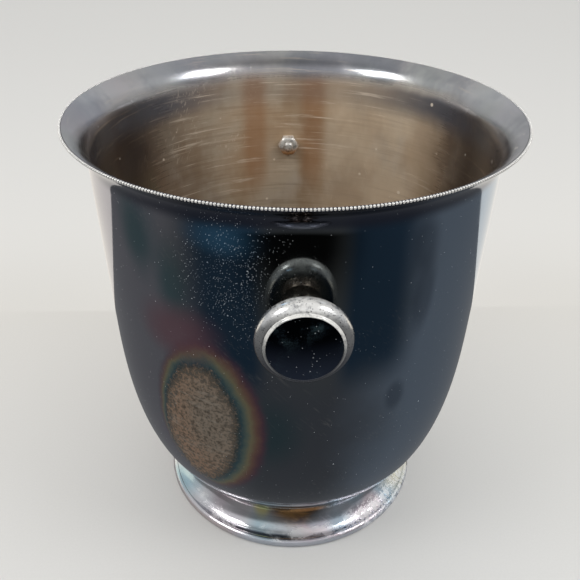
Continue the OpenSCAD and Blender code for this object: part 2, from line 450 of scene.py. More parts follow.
def round_the_bowl(s, here):
    """Angle from the front and height: (degrees, positive towards +X), metres."""
    x = s.axis(here, 0)
    y = s.axis(here, 1)
    z = s.axis(here, 2)
    turn = s.math("ARCTAN2", x, s.times(y, -1.0))
    return s.math("DEGREES", turn), z


def oval(s, turn, z, centre, half, tilt=0.0):
    """Distance from an oval patch's middle, 1 on its edge; centre and half are (degrees, metres)."""
    dz = s.minus(z, centre[1])
    across = s.minus(s.minus(turn, centre[0]), s.times(dz, tilt))
    p = s.math("DIVIDE", across, half[0])
    q = s.math("DIVIDE", dz, half[1])
    return s.math("SQRT", s.plus(s.times(p, p), s.times(q, q)))


def bowl_outside():
    """Mirror plate under blue-black tarnish, with one scoured oval ringed by the colours of a thin film."""
    m, s, surface, here = plate("Tarnished Bowl Plate")
    turn, z = round_the_bowl(s, here)
    cloud = s.noise(here, 16.0, detail=4.0)
    drift = s.noise(s.stretch(here, scale=(1, 1, 0.35), move=(0.3, 0, 0)), 34.0, detail=3.0)
    fine = s.noise(here, 150.0, detail=5.0, rough=0.7)
    grain = s.noise(here, 600.0, detail=3.0, rough=0.7)
    waver = s.minus(cloud, 0.5)

    # left, middle and right of the front (the middle's darker plate partly tarnish, partly painted shade),
    # then its clouds of film, a neutral patch high in the middle where the plate mirrors black, and painted
    # shade just under the rim
    drifting = s.plus(turn, s.times(waver, 24.0))
    # painted shade: the middle of the front gets a darker plate than its sides, partly tarnish
    base = s.mix(s.between(drifting, -34.0, -12.0), (0.37, 0.365, 0.41, 1), (0.15, 0.165, 0.19, 1))
    base = s.mix(s.between(drifting, 8.0, 34.0), base, (0.34, 0.43, 0.545, 1))
    purple = s.times(s.between(drift, 0.52, 0.72), s.between(turn, -20.0, -32.0))
    base = s.mix(s.times(purple, 0.55), base, (0.33, 0.20, 0.36, 1))
    for place, size in (((-33.0, 0.165), (6.0, 0.018)), ((-44.0, 0.182), (7.0, 0.020))):
        teal = s.plus(oval(s, turn, z, place, size), s.times(waver, 1.4))
        base = s.mix(s.between(teal, 0.2, 1.3, 0.75, 0.0), base, (0.07, 0.19, 0.21, 1))
    black = oval(s, turn, z, (0.0, 0.172), (31.0, 0.052))
    black = s.between(s.plus(black, s.times(waver, 1.2)), 0.45, 1.25, 1.0, 0.0)
    base = s.mix(s.times(black, 0.90), base, (0.19, 0.205, 0.20, 1))
    # partly painted shade: a near-black navy band either side of the middle, higher up, partly blue-black
    # tarnish
    off_middle = s.math("ABSOLUTE", turn)
    navy = s.times(s.between(off_middle, 7.0, 13.0), s.between(off_middle, 34.0, 22.0))
    navy = s.times(navy, s.between(s.plus(z, s.times(waver, 0.03)), 0.118, 0.140))
    base = s.mix(s.times(navy, 0.90), base, (0.025, 0.07, 0.13, 1))
    low_teal = s.between(oval(s, turn, z, (-8.0, 0.098), (9.0, 0.020)), 0.2, 1.4, 0.6, 0.0)
    base = s.mix(low_teal, base, (0.05, 0.13, 0.15, 1))
    blue = s.between(oval(s, turn, z, (-17.0, 0.191), (11.0, 0.008)), 0.2, 1.3, 0.5, 0.0)
    base = s.mix(blue, base, (0.12, 0.36, 0.62, 1))
    # painted shade: the band just under the rim is darkened to blue-black
    painted_shade_under_rim = s.between(z, 0.193, 0.199, 0.0, 0.85)
    base = s.mix(painted_shade_under_rim, base, (0.05, 0.055, 0.085, 1))
    smudges = ((30.0, 0.184), (4.5, 0.012)), ((32.0, 0.160), (3.5, 0.018)), ((27.0, 0.112), (3.0, 0.008))
    for place, size in smudges:
        smudge = oval(s, turn, z, place, size)
        smudge = s.between(s.plus(smudge, s.times(waver, 0.9)), 0.5, 1.4, 0.5, 0.0)
        base = s.mix(smudge, base, (0.07, 0.10, 0.15, 1))

    # the oval: t runs from its scoured middle to the last colour fringe
    ragged = s.plus(s.times(waver, 0.35), s.times(s.minus(fine, 0.5), 0.22))
    d_in = s.plus(oval(s, turn, z, (-30.0, 0.091), (11.6, 0.037), tilt=70.0), ragged)
    d_out = s.plus(oval(s, turn, z, (-26.5, 0.096), (19.0, 0.049), tilt=30.0), s.times(ragged, 0.6))
    past = s.math("MAXIMUM", s.minus(d_in, 1.0), 0.0)
    left_over = s.math("MAXIMUM", s.minus(1.0, d_out), 0.001)
    t = s.math("DIVIDE", past, s.plus(past, left_over))
    rings = s.ramp(t, [
        (0.00, (0.26, 0.22, 0.17)), (0.10, (0.10, 0.13, 0.13)), (0.28, (0.11, 0.21, 0.24)),
        (0.42, (0.28, 0.36, 0.30)), (0.56, (0.50, 0.44, 0.27)), (0.70, (0.42, 0.25, 0.19)),
        (0.85, (0.26, 0.13, 0.17)), (1.00, (0.15, 0.16, 0.20))])
    mottle = s.times(s.between(grain, 0.50, 0.62), s.between(t, 0.05, 0.45, 1.0, 0.0))
    rings = s.mix(s.times(mottle, 0.6), rings, (0.46, 0.42, 0.36, 1))
    base = s.mix(s.between(d_out, 0.82, 1.02, 1.0, 0.0), base, rings)
    feathered = s.plus(d_in, s.times(s.minus(grain, 0.5), 0.9))
    scoured = s.between(feathered, 0.72, 1.12, 1.0, 0.0)
    warm = s.mix(s.between(oval(s, turn, z, (-24.0, 0.098), (12.0, 0.036)), 0.3, 1.1),
                 (0.76, 0.62, 0.48, 1), (0.90, 0.62, 0.43, 1))
    worn = s.mix(s.between(grain, 0.42, 0.66, 0.0, 0.8), warm, (0.20, 0.16, 0.12, 1))
    swept = s.stretch(here, turn=(0.25, 0.3, 0.0), scale=(0.12, 0.12, 1.0))
    swirl = s.noise(swept, 420.0, detail=4.0, rough=0.7)
    worn = s.mix(s.between(swirl, 0.54, 0.66, 0.0, 0.45), worn, (0.95, 0.84, 0.70, 1))
    base = s.mix(scoured, base, worn)
    bloom = s.plus(oval(s, turn, z, (-33.0, 0.142), (13.0, 0.015)), s.times(waver, 0.9))
    bloom = s.between(bloom, 0.3, 1.3, 0.7, 0.0)
    base = s.mix(bloom, base, (0.42, 0.20, 0.24, 1))

    # dried splashes, thick beside the knob, and rubbing marks
    cluster = s.between(oval(s, turn, z, (-17.0, 0.174), (13.0, 0.024)), 0.1, 1.5, 0.50, 0.010)
    dust = s.specks(here, 2400.0, cluster, 0.40)
    drops = s.specks(here, 900.0, s.times(cluster, 0.12), 0.30)
    specks = s.math("MAXIMUM", dust, drops)
    scratch = s.scratches(here, turn=(0.0, 0.75, 0.0), fineness=1500.0, patches=28.0)
    rubs = s.scratches(here, turn=(0.0, -0.55, 0.5), fineness=1900.0, patches=400.0)
    marks = s.plus(s.times(scratch, 0.16), s.times(s.times(rubs, scoured), 0.9))
    base = s.mix(s.math("MINIMUM", marks, 1.0), base, (0.80, 0.76, 0.70, 1))
    base = s.mix(s.times(specks, s.between(fine, 0.35, 0.65, 0.15, 0.75)), base, (0.66, 0.69, 0.72, 1))

    smear = s.noise(here, 34.0, detail=5.0, rough=0.6)
    rough = s.between(smear, 0.35, 0.75, 0.05, 0.13)
    rough = s.blend(s.between(t, 0.0, 0.5, 0.6, 0.0), rough, 0.30)
    rough = s.blend(scoured, rough, 0.45)
    rough = s.plus(rough, s.times(specks, 0.4), clamp=True)
    height = s.minus(s.plus(specks, s.times(s.times(grain, scoured), 0.6)), marks)
    metal = s.minus(1.0, s.times(specks, 0.75))
    wire_up(s, surface, Base_Color=base, Roughness=rough, Metallic=metal,
            Normal=bump(s, height, 0.18, 0.0001))
    return m


def bowl_inside():
    """Worn plate inside: straw and brown film under a dried haze with spun marks, silver again on the lip."""
    m, s, surface, here = plate("Worn Bowl Lining")
    turn, z = round_the_bowl(s, here)
    from_back = s.minus(180.0, s.math("ABSOLUTE", turn))
    cloud = s.noise(here, 18.0, detail=5.0, rough=0.55, distortion=0.4)
    streak = s.noise(s.stretch(here, scale=(1, 1, 0.12)), 70.0, detail=4.0, rough=0.6)
    swirl = s.stretch(here, turn=(0.22, 0.10, 0.0), scale=(0.06, 0.06, 1.6))
    spun_marks = s.noise(swirl, 330.0, detail=5.0, rough=0.7)
    film = s.between(cloud, 0.3, 0.72, 0.07, 0.25)
    film = s.plus(film, s.times(s.minus(streak, 0.5), 0.12))
    film = s.plus(film, s.times(s.minus(spun_marks, 0.5), 0.08))
    base = s.group(TARNISH, {"Thickness": film})
    brown = s.noise(s.stretch(here, move=(0.1, 0.4, 0), scale=(1, 1, 0.6)), 30.0, detail=4.0, rough=0.6)
    base = s.mix(s.between(brown, 0.42, 0.64, 0.0, 0.62), base, (0.27, 0.165, 0.085, 1))
    base = s.mix(s.between(spun_marks, 0.50, 0.36, 0.0, 0.35), base, (0.20, 0.125, 0.07, 1))
    # the bowl's right side is brighter and its left side darker, both fading out towards the bottom
    up_the_wall = s.between(z, 0.03, 0.11)
    right = s.times(s.between(turn, 90.0, 140.0), s.between(turn, 176.0, 158.0))
    left = s.times(s.between(turn, -90.0, -112.0), s.between(turn, -166.0, -140.0))
    base = s.mix(0.14, base, (0.80, 0.50, 0.26, 1))
    base = s.mix(s.times(s.times(right, up_the_wall), 0.40), base, (0.98, 0.78, 0.56, 1))
    base = s.mix(s.times(s.times(left, up_the_wall), 0.40), base, (0.09, 0.07, 0.06, 1))
    # a straw-orange band on either side of the back knob
    for middle in (171.0, -167.5):
        band = s.math("ABSOLUTE", s.minus(turn, middle))
        band = s.times(s.between(band, 1.5, 6.5, 0.6, 0.0), s.between(z, 0.120, 0.150))
        base = s.mix(band, base, (0.36, 0.17, 0.07, 1))
    # round the sides a painted dark reflection, brown low down, near black higher up and blue-black just
    # under the lip
    side = s.minus(from_back, s.between(turn, 80.0, 100.0, 0.0, 10.0))
    side = s.between(s.plus(side, s.times(s.minus(cloud, 0.5), 30.0)), 34.0, 66.0)
    side = s.times(side, up_the_wall)
    low = s.between(z, 0.110, 0.175)
    shade = s.mix(low, (0.22, 0.15, 0.095, 1), (0.045, 0.045, 0.055, 1))
    green = s.times(s.between(streak, 0.45, 0.7), s.between(z, 0.17, 0.13))
    shade = s.mix(green, shade, (0.05, 0.10, 0.08, 1))
    base = s.mix(s.times(side, 0.9), base, shade)
    lip_z = s.plus(z, s.times(s.minus(cloud, 0.5), 0.010))
    # painted shade: a blue-black band just under the lip, strongest towards the sides
    painted_shade_under_lip = s.times(s.between(lip_z, 0.178, 0.190), s.between(lip_z, 0.201, 0.194))
    painted_shade_under_lip = s.times(painted_shade_under_lip, s.between(from_back, 12.0, 60.0, 0.25, 0.9))
    base = s.mix(painted_shade_under_lip, base, (0.10, 0.115, 0.15, 1))
    lip = s.between(lip_z, 0.1935, 0.202)
    silver = s.mix(s.between(cloud, 0.38, 0.66), (0.66, 0.645, 0.62, 1), (0.47, 0.47, 0.48, 1))
    tints = s.noise(s.stretch(here, move=(0.7, 0.2, 0)), 26.0, detail=2.0, out=1)
    silver = s.mix(0.10, silver, tints)
    silver = s.mix(s.between(brown, 0.50, 0.66, 0.0, 0.45), silver, (0.30, 0.31, 0.34, 1))
    base = s.mix(lip, base, silver)
    scratch = s.scratches(here, turn=(0.5, 0.0, 0.0), fineness=900.0, patches=26.0)
    specks = s.specks(here, 230.0, 0.05, 0.26)
    marks = s.math("MAXIMUM", s.times(scratch, 0.30), s.times(specks, 0.7))
    marks = s.math("MAXIMUM", marks, s.times(s.between(spun_marks, 0.56, 0.70), 0.60))
    base = s.mix(s.times(marks, s.between(side, 0.0, 1.0, 1.0, 0.35)), base, (0.92, 0.80, 0.66, 1))
    rough = s.between(spun_marks, 0.3, 0.7, 0.30, 0.46)
    rough = s.blend(s.times(side, 0.8), rough, 0.16)
    rough = s.blend(lip, rough, s.between(streak, 0.3, 0.7, 0.13, 0.24))
    # the dried haze scatters like chalk; the bare plate doesn't
    haze = s.times(s.between(cloud, 0.25, 0.62, 0.62, 1.0),
                   s.minus(1.0, s.math("MAXIMUM", s.times(side, 0.72), lip)))
    metal = s.minus(1.0, s.plus(s.times(haze, 0.95), s.times(specks, 0.5)))
    height = s.plus(spun_marks, s.times(scratch, -0.6))
    wire_up(s, surface, Base_Color=base, Roughness=rough, Metallic=s.math("MAXIMUM", metal, 0.0),
            Normal=bump(s, height, 0.35, 0.0001))
    return m


def bright_plate(name, colour, rough_lo, rough_hi, dirt=0.25, tint=0.0, pits=0.0, painted_shade_below=None,
                 painted_shade_colour=(0.10, 0.11, 0.14, 1), chalk_rise=11 * MM, chalk_low=0.0, beads=0):
    """Polished silver plate with faint stains, hairlines and, if asked, straw tints, pits, a painted shade on
    the underside below a chalky top that is partly painted light, or darker gaps between beads."""
    m, s, surface, here = plate(name)
    cloud = s.noise(here, 40.0, detail=5.0, rough=0.6)
    broad = s.noise(here, 15.0, detail=2.0)
    film = s.between(broad, 0.35, 0.75, 0.0, tint)
    metal = 1.0
    base = s.mix(0.5, s.group(TARNISH, {"Thickness": film}), (*colour, 1))
    stain = s.times(s.between(cloud, 0.45, 0.75), dirt)
    base = s.mix(stain, base, (0.16, 0.15, 0.15, 1))
    scratch = s.scratches(here, turn=(0.3, 0.9, 0.0), fineness=1100.0, patches=60.0)
    if painted_shade_below:
        # painted shade: below hi the plate is darkened towards the shade colour, amber on the nut
        lo, hi = painted_shade_below
        height = s.plus(s.axis(here, 2), s.times(s.minus(cloud, 0.5), 0.006))
        base = s.mix(s.between(height, lo, hi, 0.88, 0.0), base, painted_shade_colour)
        mottle = s.noise(here, 330.0, detail=5.0, rough=0.75)
        # above hi a chalky, half-matt top that reads lighter: partly chalky deposit, partly painted light
        chalk = s.times(s.between(height, hi, hi + chalk_rise, chalk_low, 0.75),
                        s.between(mottle, 0.34, 0.56, 0.35, 1.0))
        metal = s.minus(1.0, chalk)
        base = s.mix(s.between(mottle, 0.48, 0.32, 0.0, 0.45), base, (0.36, 0.39, 0.42, 1))
    if beads:
        # the gaps between beads are darkened and the beads made half matt
        turn = round_the_bowl(s, here)[0]
        along_bead = s.math("FRACT", s.times(turn, beads / 360))
        gap = s.between(s.math("ABSOLUTE", s.minus(along_bead, 0.5)), 0.04, 0.22, 1.0, 0.0)
        base = s.mix(gap, base, (0.07, 0.07, 0.08, 1))
        metal = s.minus(1.0, s.times(s.minus(1.0, gap), 0.45))
    pit = s.specks(here, 1700.0, pits, 0.42)
    base = s.mix(pit, base, (0.07, 0.07, 0.08, 1))
    rough = s.between(cloud, 0.3, 0.7, rough_lo, rough_hi)
    rough = s.plus(rough, s.times(pit, 0.4), clamp=True)
    relief = s.minus(s.times(scratch, -0.4), pit)
    wire_up(s, surface, Base_Color=base, Roughness=rough, Metallic=metal,
            Normal=bump(s, relief, 0.2, 0.00008))
    return m


def foot_plate():
    """The foot's plate: faint film colours, a painted amber reflection in front, chalky smears, a pale
    half-matt edge that is partly painted light, and a flaking sector.
    """
    m, s, surface, here = plate("Foot Silver")
    turn, z = round_the_bowl(s, here)
    cloud = s.noise(here, 40.0, detail=5.0, rough=0.6)
    broad = s.noise(here, 22.0, detail=2.0)
    flow = s.noise(s.stretch(here, scale=(1, 1, 3.0)), 60.0, detail=4.0, rough=0.6, distortion=0.5)
    film = s.ramp(broad, [
        (0.30, (0.50, 0.68, 0.74)), (0.42, (0.84, 0.84, 0.85)), (0.52, (0.88, 0.76, 0.80)),
        (0.60, (0.62, 0.76, 0.86)), (0.72, (0.86, 0.84, 0.70))])
    base = s.mix(s.times(s.between(cloud, 0.45, 0.75), 0.35), film, (0.18, 0.18, 0.19, 1))
    # painted reflection: an amber-brown patch at the front of the foot
    painted_amber_reflection = s.between(oval(s, turn, z, (1.0, 0.0175), (19.0, 0.0095)), 0.45, 1.25, 0.95, 0.0)
    toffee = s.mix(s.between(flow, 0.4, 0.6), (0.10, 0.05, 0.025, 1), (0.40, 0.21, 0.06, 1))
    base = s.mix(painted_amber_reflection, base, toffee)
    yellow = s.between(oval(s, turn, z, (-17.0, 0.0165), (5.0, 0.007)), 0.3, 1.2, 0.7, 0.0)
    base = s.mix(yellow, base, (0.95, 0.85, 0.30, 1))
    # the bottom edge, tinted pink at the left and pale blue elsewhere, is made half matt so it reads light:
    # partly painted light
    edge = s.between(s.plus(z, s.times(s.minus(cloud, 0.5), 0.002)), 0.0048, 0.0034)
    pink = s.mix(s.between(turn, -34.0, -20.0), (0.62, 0.49, 0.48, 1), (0.56, 0.61, 0.72, 1))
    base = s.mix(s.times(edge, 0.8), base, pink)
    smear = s.times(s.between(flow, 0.48, 0.62), s.between(z, 0.0105, 0.0070))
    flakes = s.noise(here, 420.0, detail=4.0, rough=0.7)
    sector = s.times(s.between(s.plus(turn, s.times(broad, 30.0)), 36.0, 50.0), s.between(turn, 104.0, 84.0))
    sector = s.times(sector, s.between(z, 0.012, 0.006))
    flaking = s.times(s.between(flakes, 0.44, 0.54), sector)
    # the smears and flaking are chalk; the edge's share makes it half matt and lighter, partly painted light
    chalk = s.math("MAXIMUM", s.math("MAXIMUM", s.times(smear, 0.5), flaking), s.times(edge, 0.5))
    base = s.mix(s.times(chalk, 0.6), base, (0.80, 0.81, 0.82, 1))
    scratch = s.scratches(here, turn=(0.3, 0.9, 0.0), fineness=1100.0, patches=60.0)
    rough = s.blend(chalk, s.between(cloud, 0.3, 0.7, 0.08, 0.20), 0.5)
    relief = s.plus(s.times(scratch, -0.15), s.times(s.times(flakes, sector), 2.0))
    wire_up(s, surface, Base_Color=base, Roughness=rough, Metallic=s.minus(1.0, s.times(chalk, 0.62)),
            Normal=bump(s, relief, 0.6, 0.0003))
    return m


def dark_mirror(name):
    """The knob's face: polished flat, nearly black, with a teal haze and a few specks."""
    m, s, surface, here = plate(name)
    cloud = s.noise(here, 120.0, detail=5.0, rough=0.6)
    broad = s.noise(here, 50.0, detail=2.0)
    haze = s.times(s.between(cloud, 0.45, 0.75), s.between(broad, 0.4, 0.65))
    high = s.between(s.axis(here, 2), KNOB_Z - 8 * MM, KNOB_Z + 6 * MM, 0.1, 1.0)
    haze = s.times(haze, high)
    base = s.mix(haze, (0.07, 0.09, 0.14, 1), (0.26, 0.46, 0.50, 1))
    specks = s.specks(here, 1600.0, 0.05, 0.4)
    base = s.mix(s.times(specks, 0.7), base, (0.6, 0.62, 0.64, 1))
    rough = s.between(haze, 0.0, 1.0, 0.06, 0.22)
    metal = s.minus(1.0, s.plus(s.times(haze, 0.14), s.times(specks, 0.5)))
    wire_up(s, surface, Base_Color=base, Roughness=rough, Metallic=metal,
            Normal=bump(s, specks, 0.15, 0.00005))
    return m


def dull_solder():
    """Grey solder, matt and a little lumpy."""
    m, s, surface, here = plate("Dull Solder")
    cloud = s.noise(here, 180.0, detail=5.0, rough=0.6)
    base = s.mix(cloud, (0.22, 0.22, 0.21, 1), (0.46, 0.45, 0.43, 1))
    wire_up(s, surface, Base_Color=base, Roughness=s.between(cloud, 0.3, 0.7, 0.42, 0.62),
            Normal=bump(s, cloud, 0.5, 0.0003))
    return m


BOWL_OUT = bowl_outside()
BOWL_IN = bowl_inside()
WIRE_SILVER = bright_plate("Bright Rim Silver", (0.84, 0.83, 0.80), 0.10, 0.20, dirt=0.15)
FOOT_SILVER = foot_plate()
RIM_SILVER = bright_plate("Beaded Rim Silver", (1.0, 0.98, 0.94), 0.10, 0.20, dirt=0.10, beads=RIM_BEADS)
# bezel and knob: painted shade on their lower parts and chalky tops that are partly painted light
BEZEL_SILVER = bright_plate("Bezel Silver", (1.0, 1.0, 0.97), 0.08, 0.16, dirt=0.05,
                            painted_shade_below=(KNOB_Z - 14 * MM, KNOB_Z - 4 * MM), chalk_rise=14 * MM)
KNOB_SILVER = bright_plate("Knob Silver", (1.0, 1.0, 0.99), 0.16, 0.28, dirt=0.40, tint=0.05, pits=0.55,
                           painted_shade_below=(KNOB_Z - 10 * MM, KNOB_Z + 8 * MM))
# the collar and neck plate is dark amber-brown: painted shade and a painted amber reflection on silver
COLLAR_PAINTED_SHADE_SILVER = bright_plate("Collar Silver", (0.42, 0.21, 0.07), 0.16, 0.30, dirt=0.45, pits=0.15)
# the nut: its lower part painted amber as painted shade, its top chalky and lighter, partly painted light
NUT_METAL = bright_plate("Plated Nut", (0.95, 0.90, 0.82), 0.16, 0.28, dirt=0.20, tint=0.10,
                         painted_shade_below=(KNOB_Z - 3 * MM, KNOB_Z + 1 * MM), painted_shade_colour=(0.62, 0.30, 0.10, 1),
                         chalk_rise=2 * MM, chalk_low=0.6)
FACE_MIRROR = dark_mirror("Knob Face Mirror")
SOLDER = dull_solder()


# ---------------------------------------------------------------- bowl and rim
def make_bowl():
    """The bowl with its two stud holes; faces that look inward or up take the inside's material."""
    inner = sheet_face(SHEET)
    outline = [Vector((0, BOTTOM_Z))] + OUTER_FACE + inner[::-1] + [Vector((0, BOTTOM_Z + SHEET))]
    bowl = spun("Bowl", outline, around=BOWL_FACETS)
    for side in (-1, 1):
        put_down()
        bpy.ops.mesh.primitive_cylinder_add(vertices=32, radius=STUD_HOLE_R, depth=12 * MM,
                                            location=(0, side * wall_r(KNOB_Z), KNOB_Z),
                                            rotation=(math.radians(90), 0, 0))
        cut(bowl, named("Hole Drill"))
    finish_piece(bowl, "tarnished_plate", [BOWL_OUT, BOWL_IN], "bucket_body")
    for f in bowl.data.polygons:
        away = Vector((f.center.x, f.center.y)).normalized()
        inward_or_up = f.normal.z - f.normal.x * away.x - f.normal.y * away.y
        f.material_index = 1 if inward_or_up > 0 else 0
    return bowl


def make_rim():
    """A fine wire with beads: the first few are copied one by one, then the row is doubled."""
    core = arc(WIRE_CENTRE, WIRE_R * CORE_SHARE, 0, 330, 11)
    wire = spun("Rim Bead Wire", core, around=240, ring=True, sharp=80)
    pitch = math.tau / RIM_BEADS
    put_down()
    bpy.ops.mesh.primitive_uv_sphere_add(segments=8, ring_count=6, radius=WIRE_R * BEAD_SHARE,
                                         location=(WIRE_CENTRE.x, 0, WIRE_CENTRE.y))
    beads = named("Rim Beads")
    settle(beads)
    bpy.ops.object.mode_set(mode="EDIT")
    bpy.ops.mesh.select_all(action="SELECT")
    for _ in range(1, FIRST_BEADS):
        bpy.ops.mesh.duplicate()
        bpy.ops.transform.rotate(value=pitch, orient_axis="Z", center_override=(0, 0, 0))
    for k in range(BEAD_DOUBLINGS):
        bpy.ops.mesh.select_all(action="SELECT")
        bpy.ops.mesh.duplicate()
        bpy.ops.transform.rotate(value=pitch * FIRST_BEADS * 2**k, orient_axis="Z", center_override=(0, 0, 0))
    put_down()
    take_up(beads)
    bpy.ops.object.shade_smooth()
    wire.select_set(True)
    bpy.context.view_layer.objects.active = wire
    bpy.ops.object.join()
    finish_piece(wire, "bright_plate", [RIM_SILVER], "rim_wire")


# ---------------------------------------------------------------- foot
def make_foot():
    """The foot's spun sheet: a neck curve, then a cove down to the edge ring."""
    outer = bezier_run(FOOT_NECK_CURVE, 14) + bezier_run(FOOT_COVE_CURVE, 16)[1:]
    inner = bezier_run(FOOT_NECK_CURVE, 14, -FOOT_SHEET) + bezier_run(FOOT_COVE_CURVE, 16, -FOOT_SHEET)[1:]
    foot = spun("Foot", outer + inner[::-1], around=192, ring=True)
    finish_piece(foot, "foot_plate", [FOOT_SILVER], "foot")


def make_edge_ring():
    """The rolled ring that the foot stands on, with a flat rest under it."""
    outline = [Vector((EDGE_CENTRE.x - REST_W, 0))] + arc(EDGE_CENTRE, EDGE_R, -90, 88, 16)
    outline += [Vector((EDGE_CENTRE.x - REST_W * 0.5, EDGE_H - FOOT_SHEET)),
                Vector((EDGE_CENTRE.x - REST_W, EDGE_H - FOOT_SHEET))]
    ring = spun("Foot Edge Ring", outline, around=360, ring=True)
    finish_piece(ring, "foot_plate", [FOOT_SILVER], "foot_edge_ring")


def make_collar_bead():
    """The round wire where the foot meets the bowl."""
    centre = (FOOT_TOP_R + COLLAR_BEAD_R * 0.6, FOOT_JOINT_Z - COLLAR_BEAD_R * 0.45)
    bead = spun("Foot Collar Bead", arc(centre, COLLAR_BEAD_R, 0, 337.5, 15), around=192, ring=True, sharp=80)
    finish_piece(bead, "bright_plate", [WIRE_SILVER], "foot_collar_bead")


# ---------------------------------------------------------------- knobs
WALL_R = wall_r(KNOB_Z)
COLLAR_R = (COLLAR_HI[0] - COLLAR_LO[0]) / 2
COLLAR_T = 2.6 * MM
STEP_R = 8.2 * MM
STEP_T = COLLAR_HI[1] - WALL_R - COLLAR_T
HEAD_R = (HEAD_HI[0] - HEAD_LO[0]) / 2
KNOB_EDGE_R = 4.5 * MM
HEAD_CORE_R = HEAD_R - KNOB_EDGE_R
HEAD_BACK = HEAD_LO[1]
HEAD_MID = HEAD_BACK + KNOB_EDGE_R
FACE_R = (FACE_HI[0] - FACE_LO[0]) / 2
FACE_BACK = FACE_LO[1]
FACE_TOP = FACE_HI[1]
BEZEL_R = (BEZEL_HI[0] - BEZEL_LO[0]) / 2
BEZEL_TOP = BEZEL_HI[1]
BEZEL_BEAD_R = 0.5 * MM
BEZEL_LOW_BEAD = (BEZEL_R - BEZEL_BEAD_R, BEZEL_TOP - 0.75 * MM)
BEZEL_STEP_IN = 0.35 * MM
BEZEL_FLOOR = BEZEL_TOP - 1.15 * MM
BEZEL_SEAT = BEZEL_TOP - 1.0 * MM
BEZEL_INNER = BEZEL_TOP - 0.3 * MM
FACE_DOME = 0.5 * MM
WAIST_R = 6 * MM
STUD_R = (STUD_HI[0] - STUD_LO[0]) / 2
BORE_R = STUD_R + 0.25 * MM
COLLAR_SINK = 1.0 * MM
STEP_EDGE_R = 0.3 * MM
STEP_FLOOR_R = STEP_R - 0.9 * MM
NECK_START_R = STEP_R - 1.0 * MM
NECK_INSET = 0.6 * MM
THREAD = 0.8 * MM
NUT_DOME = 2.2 * MM
NUT_DOME_H = 1.9 * MM
NUT_SOFTENING = 0.12 * MM
KNOB_FACETS = 96
HEAD_FACETS = 128


